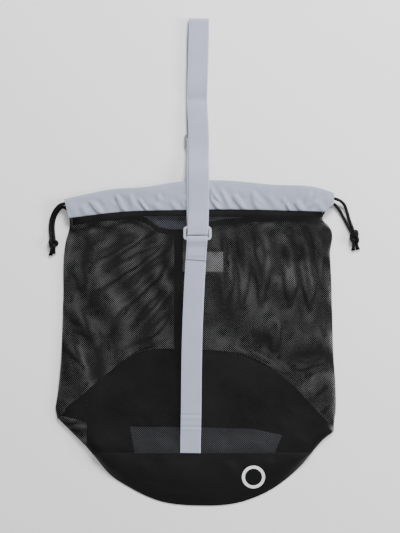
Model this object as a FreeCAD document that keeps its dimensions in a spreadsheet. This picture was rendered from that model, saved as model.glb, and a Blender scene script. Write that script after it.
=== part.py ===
"""Mesh ball bag with a drawstring collar and an adjustable shoulder strap, laid flat on its back.

Millimetres. +Z is up from the floor that the bag lies on, +Y runs from the base to the top of the
strap, and +X is to the right. The origin is on the floor, in the middle of the bag's box.
"""

import FreeCAD, Part
import math
import os

import Sketcher

DRIVING_SIZES = {
    # overall
    "bag_width": 508.0,
    "overall_length": 883.2,
    "body_height": 20.0,
    "panel_thick": 1.6,
    "side_wall": 2.0,
    "fold_height": 6.0,
    "trim_thick": 0.8,
    # places along the bag
    "collar_top": 148.4,
    "collar_bottom": 95.0,
    "front_seam": -344.8,
    "arch_top": -162.0,
    "corner_left": -281.5,
    "corner_right": -306.8,
    # collar and drawcords
    "collar_thick": 6.6,
    "tunnel_wall": 0.6,
    "tunnel_hem": 2.0,
    "cord_dia": 5.0,
    "cord_hidden": 420.0,
    # webbing
    "web_width": 37.0,
    "web_thick": 1.6,
    "layer_gap": 0.2,
    "front_run_x": 4.6,
    "back_run_x": 2.2,
    "lower_run_x": 2.9,
    "lower_tilt": 1.77,
    "flap_length": 43.0,
    # plastic ring
    "ring_x": 3.15,
    "ring_long": 51.1,
    "ring_tall": 25.0,
    "ring_bar": 5.2,
    "ring_side": 5.45,
    "ring_thick": 3.6,
    "ring_low": 40.2,
    # strap loop and its slider
    "loop_hinge": 150.0,
    "loop_gap": 0.15,
    "fold_radius": 4.9,
    "slider_long": 44.0,
    "slider_tall": 23.0,
    "slider_low": 208.7,
    "slider_bar": 4.5,
    "slider_bar_thick": 1.8,
    "centre_bar": 5.0,
    "centre_bar_thick": 2.6,
    "slider_side": 3.2,
    # label and print
    "label_wide": 73.5,
    "label_tall": 36.0,
    "mark_radius": 21.0,
    "mark_line": 5.5,
}


class Size:
    """A length with its value in millimetres and the sheet formula that it comes from."""

    def __init__(self, value, formula):
        self.value = value
        self.formula = formula

    @staticmethod
    def of(other):
        return other if isinstance(other, Size) else Size(float(other), f"({float(other)})")

    def __add__(self, other):
        other = Size.of(other)
        return Size(self.value + other.value, f"({self.formula} + {other.formula})")

    def __sub__(self, other):
        other = Size.of(other)
        return Size(self.value - other.value, f"({self.formula} - {other.formula})")

    def __mul__(self, factor):
        return Size(self.value * factor, f"({self.formula} * {factor})")

    def __neg__(self):
        return self * -1.0

    def __radd__(self, other):
        return Size.of(other) + self

    def __rsub__(self, other):
        return Size.of(other) - self


def make_sheet(document):
    """The spreadsheet that holds the driving sizes, one alias a row."""
    sheet = document.addObject("Spreadsheet::Sheet", "Sizes")
    for row, (alias, value) in enumerate(DRIVING_SIZES.items(), start=1):
        sheet.set(f"A{row}", alias)
        sheet.set(f"B{row}", str(value))
        sheet.setAlias(f"B{row}", alias)
    document.recompute()
    return sheet


def size(alias):
    """A driving size, read from the sheet."""
    return Size(float(sizes.get(alias)), f"Sizes.{alias}")


doc = FreeCAD.newDocument("MeshBallBag")
sizes = make_sheet(doc)
parts = []

# Sizes that several sub-parts share.
HALF_WIDTH = size("bag_width") * 0.5
HALF_LENGTH = size("overall_length") * 0.5
PANEL = size("panel_thick")
TOP = size("body_height")
WEB = size("web_thick")
GAP = size("layer_gap")
CORD = size("cord_dia")
COLLAR = size("collar_thick")
SEAM = size("front_seam")
HINGE = size("loop_hinge")
LOOP_START = HINGE + size("loop_gap")
RETURN_LOW = TOP
RUN_LOW = TOP + WEB + GAP
BACK_COLLAR_LOW = WEB
FRONT_COLLAR_LOW = TOP - COLLAR
TRIM = size("trim_thick")


# ---------------------------------------------------------------- drawing helpers


def keep(part, name):
    """Lists an object as a sub-part under its own name."""
    part.Label = name
    parts.append(part)
    return part


def bind(thing, setting, length):
    """Ties one setting of an object to the sheet."""
    thing.setExpression(setting, Size.of(length).formula)


def tie_point(sketch, geometry, corner, x, y):
    """Holds one point of a sketch at a place given by two sizes."""
    for axis, kind, length in ((-2, "DistanceX", Size.of(x)), (-1, "DistanceY", Size.of(y))):
        if abs(length.value) < 1e-9:
            sketch.addConstraint(Sketcher.Constraint("PointOnObject", geometry, corner, axis))
            continue
        rule = Sketcher.Constraint(kind, -1, 1, geometry, corner, length.value)
        number = sketch.addConstraint(rule)
        sketch.setExpression(f"Constraints[{number}]", length.formula)


def vector(x, y):
    return FreeCAD.Vector(Size.of(x).value, Size.of(y).value, 0)


def draw_outline(sketch, points):
    """Draws a closed outline. A point is (x, y), or (x, y, via_x, via_y) to reach it by an arc."""
    for i, point in enumerate(points):
        start = vector(*points[i - 1][:2])
        end = vector(*point[:2])
        if len(point) == 2:
            sketch.addGeometry(Part.LineSegment(start, end), False)
            continue
        via = vector(*point[2:])
        anticlockwise = (via - start).cross(end - via).z > 0
        arc = Part.Arc(start, via, end) if anticlockwise else Part.Arc(end, via, start)
        sketch.addGeometry(arc, False)
    ends = {}
    for i, point in enumerate(points):
        curve = sketch.Geometry[i]
        reached = curve.EndPoint.distanceToPoint(vector(*point[:2])) < 1e-6
        ends[i] = (1, 2) if reached else (2, 1)
    for i, point in enumerate(points):
        after = (i + 1) % len(points)
        joint = Sketcher.Constraint("Coincident", i, ends[i][1], after, ends[after][0])
        sketch.addConstraint(joint)
        tie_point(sketch, i, ends[i][1], point[0], point[1])
        if len(point) == 4:
            mark = sketch.addGeometry(Part.Point(vector(*point[2:])), True)
            tie_point(sketch, mark, 1, point[2], point[3])
            sketch.addConstraint(Sketcher.Constraint("PointOnObject", mark, 1, i))


def sketch_in(body, plane, level, name):
    """A sketch on one origin plane of its body, moved along the plane's normal to a level."""
    sketch = body.newObject("Sketcher::SketchObject", name)
    face = next(f for f in body.Origin.OriginFeatures if f.Role == plane)
    sketch.AttachmentSupport = [(face, "")]
    sketch.MapMode = "FlatFace"
    bind(sketch, "AttachmentOffset.Base.z", level)
    return sketch


def prism(name, plane, level, length, points):
    """A body padded from one closed outline."""
    body = doc.addObject("PartDesign::Body", name)
    sketch = sketch_in(body, plane, level, name + "_outline")
    draw_outline(sketch, points)
    pad = body.newObject("PartDesign::Pad", name + "_pad")
    pad.Profile = sketch
    bind(pad, "Length", length)
    return body


def plate(name, low, thick, points):
    """A flat piece drawn from above: its outline in X and Y, its underside and its thickness."""
    return prism(name, "XY_Plane", low, thick, points)


def ribbon(name, centre, width, points):
    """A piece drawn from the side: its outline in Y and Z, and its middle and width in X."""
    return prism(name, "YZ_Plane", centre - width * 0.5, width, points)


def block(name, x, y, z):
    """A plain box from three (low, high) pairs."""
    box = doc.addObject("Part::Box", name)
    for axis, setting, (low, high) in (("x", "Length", x), ("y", "Width", y), ("z", "Height", z)):
        bind(box, f"Placement.Base.{axis}", low)
        bind(box, setting, high - low)
    return box


def cut(name, base, tool):
    result = doc.addObject("Part::Cut", name)
    result.Base = base
    result.Tool = tool
    return result


def common(name, *shapes):
    result = doc.addObject("Part::MultiCommon", name)
    result.Shapes = list(shapes)
    return result


def fuse(name, *shapes):
    result = doc.addObject("Part::MultiFuse", name)
    result.Shapes = list(shapes)
    return result


def copy_of(shape, name):
    """A second user of a shape, because an object belongs to one boolean only."""
    link = doc.addObject("App::Link", name)
    link.LinkedObject = shape
    return link


# ---------------------------------------------------------------- outlines that panels share


def collar_hem():
    """The collar's lower edge on the front, from left to right."""
    low = size("collar_bottom")
    return [
        (-HALF_WIDTH + 25.3, low - 14.5),
        (-HALF_WIDTH + 117.0, low - 3.6),
        (-HALF_WIDTH + 236.0, low),
        (HALF_WIDTH - 230.0, low + 0.9),
        (HALF_WIDTH - 18.6, low - 2.9),
    ]


def collar_edge(drop):
    """The collar's upper edge, from right to left, lowered by drop."""
    high = size("collar_top") - drop
    return [
        (HALF_WIDTH - 3.8, high - 22.4),
        (HALF_WIDTH - 27.0, high - 14.5),
        (HALF_WIDTH - 200.0, high),
        (-HALF_WIDTH + 235.0, high - 1.1),
        (-HALF_WIDTH + 111.0, high - 15.0),
        (-HALF_WIDTH + 16.1, high - 33.5),
    ]


def back_collar_hem():
    """The collar's lower edge on the back, which hangs lower than the front one."""
    low = size("collar_bottom")
    return [
        (-HALF_WIDTH + 29.5, low - 18.0),
        (-HALF_WIDTH + 170.0, low - 35.0),
        (-HALF_WIDTH + 237.0, low - 33.0),
        (HALF_WIDTH - 176.0, low - 20.0),
        (HALF_WIDTH - 26.0, low - 7.0),
    ]


def body_outline(inset):
    """The bag's body from above, drawn in by inset on the sides and base, open at the mouth."""
    bottom = -HALF_LENGTH + inset
    left = -HALF_WIDTH + inset
    right = HALF_WIDTH - inset
    corner_left = size("corner_left")
    corner_right = size("corner_right")
    hem = [(x, y + inset * 2.0) for x, y in collar_hem()]
    return [
        (left + 25.3, hem[0][1]),
        (left, corner_left + 19.5),
        (left + 3.0, corner_left),
        (left + 57.3, SEAM + 9.0),
        (right - 32.0, SEAM + 11.2, HALF_WIDTH * 0.05, bottom),
        (right - 3.6, corner_right),
        (right, corner_right + 56.8),
        (right - 11.0, size("collar_bottom") - 33.0),
        (right - 18.6, hem[4][1]),
        (hem[3][0], hem[3][1]),
        (hem[2][0], hem[2][1]),
        (hem[1][0], hem[1][1]),
    ]


def arch_outline(shift):
    """The area below the arched seam where the back mesh meets the base, moved up by shift."""
    arch = size("arch_top") + shift
    side = HALF_WIDTH + 10.0
    below = -HALF_LENGTH - 10.0
    return [
        (side, below),
        (side, size("corner_right") - 12.0 + shift),
        (HALF_WIDTH * 0.25, arch - 4.0, HALF_WIDTH * 0.66, arch - 60.0),
        (-HALF_WIDTH * 0.31, arch),
        (-HALF_WIDTH * 0.40, arch - 6.0),
        (-side, size("corner_left") - 7.0 + shift),
        (-side, below),
    ]


# ---------------------------------------------------------------- mesh body and base


def body_envelope(name, inset, low, high):
    """The space of the flattened bag, drawn in by inset, as three crossed prisms."""
    edge = size("fold_height")
    left = -HALF_WIDTH + inset
    right = HALF_WIDTH - inset
    base_edge = -HALF_LENGTH + inset
    mouth = size("collar_bottom") + 1.0 + inset * 2.0
    from_above = plate(name + "_plan", low, high - low, body_outline(inset))
    from_side = prism(
        name + "_side",
        "YZ_Plane",
        -HALF_WIDTH,
        HALF_WIDTH * 2.0,
        [(mouth, low), (mouth, high), (SEAM, high), (base_edge, edge), (base_edge, low)],
    )
    from_end = prism(
        name + "_end",
        "XZ_Plane",
        -HALF_LENGTH,
        HALF_LENGTH * 2.0,
        [
            (left + 8.0, low),
            (left, edge),
            (left + 30.0, high),
            (right - 30.0, high),
            (right, edge),
            (right - 8.0, low),
        ],
    )
    return common(name, from_above, from_side, from_end)


def make_body_panels():
    """The mesh and base panels: one thin shell, parted at the side folds and at the seams."""
    outside = body_envelope("outside", Size.of(0), Size.of(0), TOP)
    inside = body_envelope("inside", size("side_wall"), PANEL, TOP - PANEL)
    shell = cut("shell", outside, inside)
    edge = size("fold_height")
    wide = (-HALF_WIDTH - 10.0, HALF_WIDTH + 10.0)
    mesh_side = (SEAM, HALF_LENGTH)
    base_side = (-HALF_LENGTH - 10.0, SEAM)
    upper = (edge, TOP + 10.0)
    lower = (Size.of(-10), edge)
    front_mesh = block("front_mesh_space", wide, mesh_side, upper)
    front_base = block("front_base_space", wide, base_side, upper)
    back = block("back_space", wide, (base_side[0], HALF_LENGTH), lower)
    keep(common("front_mesh", shell, front_mesh), "mesh_front_panel")
    keep(common("front_base", copy_of(shell, "shell_b"), front_base), "base_front_panel")
    back_shell = common("back_shell", copy_of(shell, "shell_c"), back)
    arch = plate("arch_space", Size.of(-5), TOP, arch_outline(Size.of(0)))
    half_strap = size("web_width") * 0.5 + 0.3
    strap_slot = block(
        "strap_slot",
        (size("back_run_x") - half_strap, size("back_run_x") + half_strap),
        (size("collar_bottom") - 23.0, HALF_LENGTH),
        lower,
    )
    back_mesh = cut("back_mesh_whole", back_shell, arch)
    keep(cut("back_mesh", back_mesh, strap_slot), "mesh_back_panel")
    pair = (copy_of(back_shell, "back_shell_b"), copy_of(arch, "arch_b"))
    keep(common("back_base", *pair), "base_back_panel")


def make_base_trims():
    """The seam tapes inside the bag: round the base edge, along the arch and up the back."""
    tape = 8.0
    inset = size("side_wall") + 0.2
    outer = plate("binding_outer", PANEL, TRIM, body_outline(inset))
    inner = plate("binding_inner", PANEL - 1.0, TRIM + 2.0, body_outline(inset + tape))
    band = cut("binding_band", outer, inner)
    low_half = block(
        "binding_space",
        (-HALF_WIDTH + 12.0, HALF_WIDTH - 12.0),
        (-HALF_LENGTH, size("corner_right")),
        (PANEL, PANEL + TRIM),
    )
    keep(common("base_binding", band, low_half), "base_seam_binding")
    above = plate("arch_above", PANEL, TRIM, arch_outline(Size.of(tape * 0.5)))
    below = plate("arch_below", PANEL - 1.0, TRIM + 2.0, arch_outline(Size.of(-tape * 0.5)))
    inside = plate("arch_inside", PANEL, TRIM, body_outline(inset + tape + 1.0))
    arch = common("arch_tape", cut("arch_band", above, below), inside)
    keep(arch, "arch_seam_tape")
    seam = block(
        "back_seam",
        (Size.of(-39.0), Size.of(-24.0)),
        (size("arch_top") + tape * 0.5 + 1.0, size("collar_bottom") - 48.0),
        (PANEL, PANEL + TRIM),
    )
    keep(seam, "back_seam_tape")
    facing = plate(
        "facing",
        TOP - PANEL - TRIM,
        TRIM,
        [
            (-HALF_WIDTH + 133.0, SEAM + 49.0),
            (HALF_WIDTH - 92.0, SEAM + 49.0),
            (HALF_WIDTH - 116.0, SEAM + 0.5),
            (-HALF_WIDTH + 144.0, SEAM + 0.5),
        ],
    )
    keep(facing, "base_facing_strip")


def make_label():
    """The plain patch sewn to the inside of the back mesh."""
    left = Size.of(-23.6)
    low = Size.of(-16.5)
    patch = block(
        "label",
        (left, left + size("label_wide")),
        (low, low + size("label_tall")),
        (PANEL, PANEL + TRIM),
    )
    keep(patch, "label_patch")


def make_printed_mark():
    """A plain printed ring on the sloping front of the base."""
    radius = size("mark_radius")
    body = doc.addObject("PartDesign::Body", "mark")
    sketch = sketch_in(body, "XY_Plane", Size.of(0), "mark_outline")
    for length in (radius, radius - size("mark_line")):
        circle = Part.Circle(FreeCAD.Vector(), FreeCAD.Vector(0, 0, 1), length.value)
        number = sketch.addGeometry(circle, False)
        sketch.addConstraint(Sketcher.Constraint("Coincident", number, 3, -1, 1))
        rule = sketch.addConstraint(Sketcher.Constraint("Radius", number, length.value))
        sketch.setExpression(f"Constraints[{rule}]", length.formula)
    pad = body.newObject("PartDesign::Pad", "mark_pad")
    pad.Profile = sketch
    pad.Length = 0.3
    place_y = -388.0
    fall = (TOP - size("fold_height")).value / (HALF_LENGTH + SEAM).value
    height = TOP.value - fall * (SEAM.value - place_y)
    tilt = FreeCAD.Rotation(FreeCAD.Vector(1, 0, 0), math.degrees(math.atan(fall)))
    body.Placement = FreeCAD.Placement(FreeCAD.Vector(104.7, place_y, height), tilt)
    keep(body, "printed_mark")


# ---------------------------------------------------------------- collar


def make_collar(side, low, hem, drop):
    """One side of the drawstring collar: a flat fabric tunnel, open at both ends."""
    wall = size("tunnel_wall")
    rim = size("tunnel_hem")
    edge = collar_edge(drop)
    right_end = [(HALF_WIDTH - 3.6 - drop * 0.4, size("collar_bottom") + 11.8 - drop)]
    whole = plate(f"collar_{side}_whole", low, COLLAR, hem + right_end + edge)
    past = HALF_WIDTH + 15.0
    bottom = [(-past, hem[0][1] + rim)]
    bottom += [(x, y + rim) for x, y in hem[1:4]]
    bottom += [(hem[4][0], hem[4][1] + rim), (past, right_end[0][1] + rim)]
    top = [(past, edge[0][1] - rim)]
    top += [(x, y - rim) for x, y in edge[1:5]]
    top += [(-past, edge[5][1] - rim)]
    tunnel = plate(f"collar_{side}_tunnel", low + wall, COLLAR - wall * 2.0, bottom + top)
    keep(cut(f"collar_{side}_cut", whole, tunnel), f"collar_{side}")


def make_collar_trims():
    """The seam allowances below the collar and the side seams that join front and back."""
    band = 12.0
    tuck = 2.4
    for side, hem, low in (
        ("front", collar_hem(), TOP - PANEL - TRIM),
        ("back", back_collar_hem(), PANEL),
    ):
        inside = [(hem[0][0] + 10.0, hem[0][1] - tuck)]
        inside += [(x, y - tuck) for x, y in hem[1:4]]
        inside += [(hem[4][0] - 16.0, hem[4][1] - tuck)]
        lower = [(x, y - band) for x, y in reversed(inside)]
        tape = plate(f"tape_{side}", low, TRIM, inside + lower)
        keep(tape, f"collar_seam_tape_{side}")
    low = BACK_COLLAR_LOW + COLLAR
    high = FRONT_COLLAR_LOW - low
    left = [(-235.5, 111.0), (-229.3, 86.0), (-226.3, 86.6), (-232.5, 111.6)]
    keep(plate("side_left", low, high, left), "collar_side_seam_left")
    right = [(245.5, 106.0), (248.5, 106.0), (248.5, 122.0), (245.5, 122.0)]
    keep(plate("side_right", low, high, right), "collar_side_seam_right")


# ---------------------------------------------------------------- straps, ring and slider


def make_lower_strap():
    """The strap from the front seam to the ring, folded over the ring's lower bar and sewn."""
    low = TOP
    high = TOP + WEB
    bar_top = high + size("ring_thick")
    bar_low = size("ring_low")
    bar_high = bar_low + size("ring_bar")
    flap_end = bar_high + WEB - size("flap_length")
    rest = bar_low - 10.0
    strap = ribbon(
        "lower_strap_side",
        Size.of(0),
        size("web_width"),
        [
            (SEAM, low),
            (bar_high + WEB, low),
            (bar_high + WEB, bar_top + WEB),
            (bar_low, bar_top + WEB),
            (rest, high + WEB + GAP),
            (flap_end, high + WEB + GAP),
            (flap_end, high + GAP),
            (rest, high + GAP),
            (bar_low - 1.5, bar_top),
            (bar_high, bar_top),
            (bar_high, high),
            (SEAM, high),
        ],
    )
    stitches = thread_frame(
        "lower_stitch",
        (size("web_width") * -0.5 + 2.5, size("web_width") * 0.5 - 2.5),
        (flap_end + 3.0, rest - 3.0),
        high + WEB + GAP,
    )
    turn = FreeCAD.Rotation(FreeCAD.Vector(0, 0, 1), -size("lower_tilt").value)
    pivot = FreeCAD.Vector(0, bar_high.value, 0)
    shift = FreeCAD.Vector(size("lower_run_x").value, bar_high.value, 0)
    for piece in (strap, stitches):
        piece.Placement = FreeCAD.Placement(shift - turn.multVec(pivot), turn)
    keep(strap, "lower_strap")
    keep(stitches, "lower_strap_stitching")


def thread_frame(name, x, y, low):
    """A sewn rectangle of thread, standing a little proud of the webbing."""
    thread = 0.7
    proud = 0.3
    outer = block(name + "_outer", x, y, (low, low + proud))
    inner = block(
        name + "_inner",
        (x[0] + thread, x[1] - thread),
        (y[0] + thread, y[1] - thread),
        (low - 1.0, low + 1.0),
    )
    return cut(name, outer, inner)


def make_ring():
    """The moulded rectangular ring that joins the lower strap to the shoulder strap."""
    centre = size("ring_x")
    half = size("ring_long") * 0.5
    low = size("ring_low")
    high = low + size("ring_tall")
    under = TOP + WEB
    corner = 6.0
    bulge = corner * 0.293
    outline = [
        (centre - half + corner, low, centre - half + bulge, low + bulge),
        (centre + half - corner, low),
        (centre + half, low + corner, centre + half - bulge, low + bulge),
        (centre + half, high - corner),
        (centre + half - corner, high, centre + half - bulge, high - bulge),
        (centre - half + corner, high),
        (centre - half, high - corner, centre - half + bulge, high - bulge),
        (centre - half, low + corner),
    ]
    whole = plate("ring_whole", under, size("ring_thick"), outline)
    hole = block(
        "ring_hole",
        (centre - half + size("ring_side"), centre + half - size("ring_side")),
        (low + size("ring_bar"), high - size("ring_bar")),
        (under - 1.0, under + 10.0),
    )
    keep(cut("ring", whole, hole), "strap_ring")


def make_shoulder_strap_base():
    """The fixed part of the shoulder strap, from its turn round the ring to the collar's edge."""
    width = size("web_width")
    over = TOP + WEB + size("ring_thick")
    bar_end = size("ring_low") + size("ring_tall")
    turn_y = size("ring_low") + 9.2
    radius = (over + WEB - TOP) * 0.5
    inner = radius - WEB
    middle = TOP + radius
    settle = bar_end + 26.0
    stop = HINGE - size("loop_gap")
    front = ribbon(
        "turn_front",
        size("front_run_x"),
        width,
        [
            (turn_y + WEB, middle),
            (turn_y + radius, over, turn_y + radius - inner * 0.707, middle + inner * 0.707),
            (bar_end + 1.0, over),
            (settle, RUN_LOW),
            (stop, RUN_LOW),
            (stop, RUN_LOW + WEB),
            (settle, RUN_LOW + WEB),
            (bar_end + 1.0, over + WEB),
            (turn_y + radius, over + WEB),
            (turn_y, middle, turn_y + radius * 0.293, middle + radius * 0.707),
        ],
    )
    back = ribbon(
        "turn_back",
        size("back_run_x"),
        width,
        [
            (turn_y, middle),
            (turn_y + radius, TOP, turn_y + radius * 0.293, middle - radius * 0.707),
            (stop, TOP),
            (stop, TOP + WEB),
            (turn_y + radius, TOP + WEB),
            (turn_y + WEB, middle, turn_y + radius - inner * 0.707, middle - inner * 0.707),
        ],
    )
    keep(fuse("ring_turn", front, back), "shoulder_strap_base")
    anchor = block(
        "anchor",
        (size("back_run_x") - width * 0.5, size("back_run_x") + width * 0.5),
        (size("collar_bottom") - 22.0, stop),
        (Size.of(0), WEB),
    )
    keep(anchor, "shoulder_strap_anchor")
    stitches = thread_frame(
        "anchor_stitch",
        (size("back_run_x") - 16.0, size("back_run_x") + 16.0),
        (size("collar_bottom") - 24.0, size("collar_bottom") - 17.0),
        BACK_COLLAR_LOW + COLLAR,
    )
    keep(stitches, "anchor_stitching")


def make_shoulder_loop():
    """The free loop of the shoulder strap: front run, top fold and back run, in one piece."""
    width = size("web_width")
    radius = size("fold_radius")
    inner = radius - WEB
    back_low = size("slider_bar_thick") + GAP
    middle = back_low + radius
    fold = HALF_LENGTH - radius
    top_low = back_low + radius * 2.0 - WEB
    over_slider = size("slider_low") - 9.0
    front = ribbon(
        "loop_front",
        size("front_run_x"),
        width,
        [
            (LOOP_START, RUN_LOW),
            (over_slider, top_low),
            (fold, top_low),
            (fold + inner, middle, fold + inner * 0.707, middle + inner * 0.707),
            (fold + radius, middle),
            (fold, top_low + WEB, fold + radius * 0.707, middle + radius * 0.707),
            (over_slider, top_low + WEB),
            (LOOP_START, RUN_LOW + WEB),
        ],
    )
    floor_y = HINGE + 10.0
    lifted_y = HINGE + 45.0
    back = ribbon(
        "loop_back",
        size("back_run_x"),
        width,
        [
            (LOOP_START, Size.of(0)),
            (floor_y, Size.of(0)),
            (lifted_y, back_low),
            (fold, back_low),
            (fold + radius, middle, fold + radius * 0.707, middle - radius * 0.707),
            (fold + inner, middle),
            (fold, back_low + WEB, fold + inner * 0.707, middle - inner * 0.707),
            (lifted_y, back_low + WEB),
            (floor_y, WEB),
            (LOOP_START, WEB),
        ],
    )
    keep(fuse("loop", front, back), "shoulder_strap_loop")


def slider_levels():
    """The slider's heights: below the centre bar's wrap, the bar's underside and its top."""
    wrap_low = size("slider_bar_thick") + GAP + WEB + 0.3
    bar_low = wrap_low + WEB
    return wrap_low, bar_low, bar_low + size("centre_bar_thick")


def make_return_layer():
    """The webbing that comes back from the ring, between the collar's edge and the slider."""
    bar_top = slider_levels()[2]
    level_y = size("slider_low") - 9.0
    stop = size("slider_low") + 3.4
    layer = ribbon(
        "return_side",
        size("back_run_x"),
        size("web_width"),
        [
            (LOOP_START, RETURN_LOW),
            (level_y, bar_top),
            (stop, bar_top),
            (stop, bar_top + WEB),
            (level_y, bar_top + WEB),
            (LOOP_START, RETURN_LOW + WEB),
        ],
    )
    keep(layer, "strap_return_layer")


def make_slider():
    """The three-bar slider: outer bars under the back run, centre bar above it in the sewn end."""
    wrap_low, bar_low, bar_top = slider_levels()
    centre = size("back_run_x")
    half = size("slider_long") * 0.5
    low = size("slider_low")
    high = low + size("slider_tall")
    bar = size("slider_bar")
    flat = (Size.of(0), size("slider_bar_thick"))
    wide = (centre - half, centre + half)
    near = block("slider_near", wide, (low, low + bar), flat)
    far = block("slider_far", wide, (high - bar, high), flat)
    side = size("slider_side")
    tall = (Size.of(0), bar_top)
    left = block("slider_left", (centre - half, centre - half + side), (low, high), tall)
    right = block("slider_right", (centre + half - side, centre + half), (low, high), tall)
    middle = low + size("slider_tall") * 0.5
    bar_y = (middle - size("centre_bar") * 0.5, middle + size("centre_bar") * 0.5)
    across = block("slider_centre", wide, bar_y, (bar_low, bar_top))
    keep(fuse("slider", near, far, left, right, across), "strap_slider")
    start = low + 3.7
    wrap = ribbon(
        "wrap_side",
        centre,
        size("web_width"),
        [
            (start, bar_top),
            (bar_y[1], bar_top),
            (bar_y[1], bar_low),
            (low - 4.0, bar_low),
            (low - 4.0, wrap_low),
            (bar_y[1] + WEB, wrap_low),
            (bar_y[1] + WEB, bar_top + WEB),
            (start, bar_top + WEB),
        ],
    )
    keep(wrap, "slider_sewn_end")


# ---------------------------------------------------------------- drawcords

# Each strand's route from the collar's end to its knot.
LEFT_FRONT_ROUTE = [
    (-235.7, 106.8, 16.7),
    (-244.5, 105.6, 15.2),
    (-254.5, 99.5, 10.5),
    (-262.3, 89.5, 5.6),
    (-266.2, 76.5, 2.9),
    (-266.6, 63.0, 2.6),
    (-264.4, 50.5, 3.4),
    (-262.0, 41.5, 5.0),
]
LEFT_BACK_ROUTE = [
    (-233.1, 96.8, 4.9),
    (-241.5, 95.8, 4.6),
    (-250.5, 90.0, 3.6),
    (-256.8, 80.8, 2.7),
    (-259.9, 69.0, 2.6),
    (-260.4, 57.0, 2.7),
    (-258.6, 47.5, 4.0),
    (-256.4, 41.5, 5.0),
]
RIGHT_FRONT_ROUTE = [
    (250.3, 115.8, 16.7),
    (258.0, 113.6, 14.6),
    (266.8, 106.6, 9.4),
    (273.6, 96.0, 4.6),
    (278.6, 83.5, 2.7),
    (283.0, 71.5, 2.6),
    (286.9, 62.0, 3.6),
    (289.4, 55.6, 5.4),
]
RIGHT_BACK_ROUTE = [
    (250.4, 106.8, 4.9),
    (256.2, 103.6, 4.6),
    (263.0, 94.6, 3.4),
    (269.3, 83.6, 2.7),
    (275.2, 71.8, 2.6),
    (280.0, 61.8, 3.2),
    (284.2, 53.4, 5.2),
]
# A knot's middle and its half sizes along X, Y and Z; a tail's start and end.
LEFT_KNOT = ((-258.9, 34.0, 6.6), (8.6, 9.0, 6.5))
RIGHT_KNOT = ((289.0, 44.5, 6.8), (8.4, 12.0, 6.7))
LEFT_TAILS = [
    ((-261.0, 27.0, 4.0), (-263.4, 12.7, 3.2)),
    ((-256.3, 27.0, 4.0), (-257.2, 15.5, 3.2)),
]
RIGHT_TAILS = [
    ((286.2, 35.0, 4.0), (285.9, 22.0, 3.2)),
    ((291.6, 35.0, 4.0), (294.6, 23.6, 3.2)),
]


def rounded_path(route, name):
    """Straight runs joined by tangent arcs, each as large as its two runs allow."""
    points = [FreeCAD.Vector(*p) for p in route]
    edges = []
    start = points[0]
    radii = []
    for before, corner, after in zip(points, points[1:], points[2:], strict=False):
        back = before - corner
        ahead = after - corner
        turn = math.pi - back.getAngle(ahead)
        reach = 0.45 * min(back.Length, ahead.Length)
        radius = reach / math.tan(turn / 2)
        radii.append(radius)
        enter = corner + back.normalize() * reach
        leave = corner + ahead.normalize() * reach
        middle = (back + ahead).normalize()
        peak = corner + middle * (radius / math.cos(turn / 2) - radius)
        edges.append(Part.LineSegment(start, enter).toShape())
        edges.append(Part.Arc(enter, peak, leave).toShape())
        start = leave
    edges.append(Part.LineSegment(start, points[-1]).toShape())
    print(name, "arc radii", [round(r, 1) for r in radii])
    return Part.Wire(edges)


def make_strand(name, route):
    """A round cord along its route."""
    path = rounded_path(route, name)
    radius = CORD.value / 2
    first = FreeCAD.Vector(*route[0])
    along = FreeCAD.Vector(*route[1]) - first
    ring = Part.Wire([Part.Circle(first, along, radius).toShape()])
    solid = path.makePipeShell([ring], True, True)
    expected = math.pi * radius * radius * path.Length
    share = solid.Volume / expected
    print(name, "length", round(path.Length, 1), "volume share", round(share, 4))
    if abs(share - 1) > 0.02:
        raise RuntimeError(f"{name} has lost its section")
    cord = doc.addObject("Part::Feature", name + "_shape")
    cord.Shape = solid
    keep(cord, name)


def make_hidden_run(name, exit_point, towards):
    """The stretch of a cord inside the collar, straight along the tunnel."""
    run = doc.addObject("Part::Cylinder", name + "_shape")
    bind(run, "Radius", CORD * 0.5)
    bind(run, "Height", size("cord_hidden"))
    turn = FreeCAD.Rotation(FreeCAD.Vector(0, 0, 1), FreeCAD.Vector(towards, 0, 0))
    run.Placement = FreeCAD.Placement(FreeCAD.Vector(*exit_point), turn)
    keep(run, name)


def make_knot(name, middle, half_sizes):
    """An overhand knot as a plain rounded solid."""
    knot = doc.addObject("Part::Ellipsoid", name + "_shape")
    knot.Radius1 = half_sizes[2]
    knot.Radius2 = half_sizes[0]
    knot.Radius3 = half_sizes[1]
    knot.Placement.Base = FreeCAD.Vector(*middle)
    keep(knot, name)


def make_tail(name, start, end):
    """A short cord end that flares a little where it is cut."""
    begin = FreeCAD.Vector(*start)
    along = FreeCAD.Vector(*end) - begin
    tail = doc.addObject("Part::Cone", name + "_shape")
    bind(tail, "Radius1", CORD * 0.43)
    bind(tail, "Radius2", CORD * 0.56)
    tail.Height = along.Length
    turn = FreeCAD.Rotation(FreeCAD.Vector(0, 0, 1), along)
    tail.Placement = FreeCAD.Placement(begin, turn)
    keep(tail, name)


def make_drawcord(side, routes, knot, tails, inward):
    """One drawcord: two strands, their hidden runs, the knot that joins them and two tails."""
    for layer, route in routes.items():
        make_strand(f"{side}_cord_{layer}_strand", route)
        make_hidden_run(f"{side}_cord_{layer}_hidden", route[0], inward)
    make_knot(f"{side}_cord_knot", *knot)
    for number, (start, end) in enumerate(tails, start=1):
        make_tail(f"{side}_cord_tail_{number}", start, end)


# ---------------------------------------------------------------- building and writing


def check_document():
    """Stops unless every object computed and every sub-part is a valid solid."""
    for thing in doc.Objects:
        bad = [word for word in thing.State if word in ("Invalid", "Error")]
        if bad:
            raise RuntimeError(f"{thing.Label} did not compute: {thing.State}")
    for part in parts:
        shape = part.Shape
        if shape.isNull() or not shape.isValid() or not shape.Solids:
            raise RuntimeError(f"{part.Label} has no valid solid")


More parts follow.
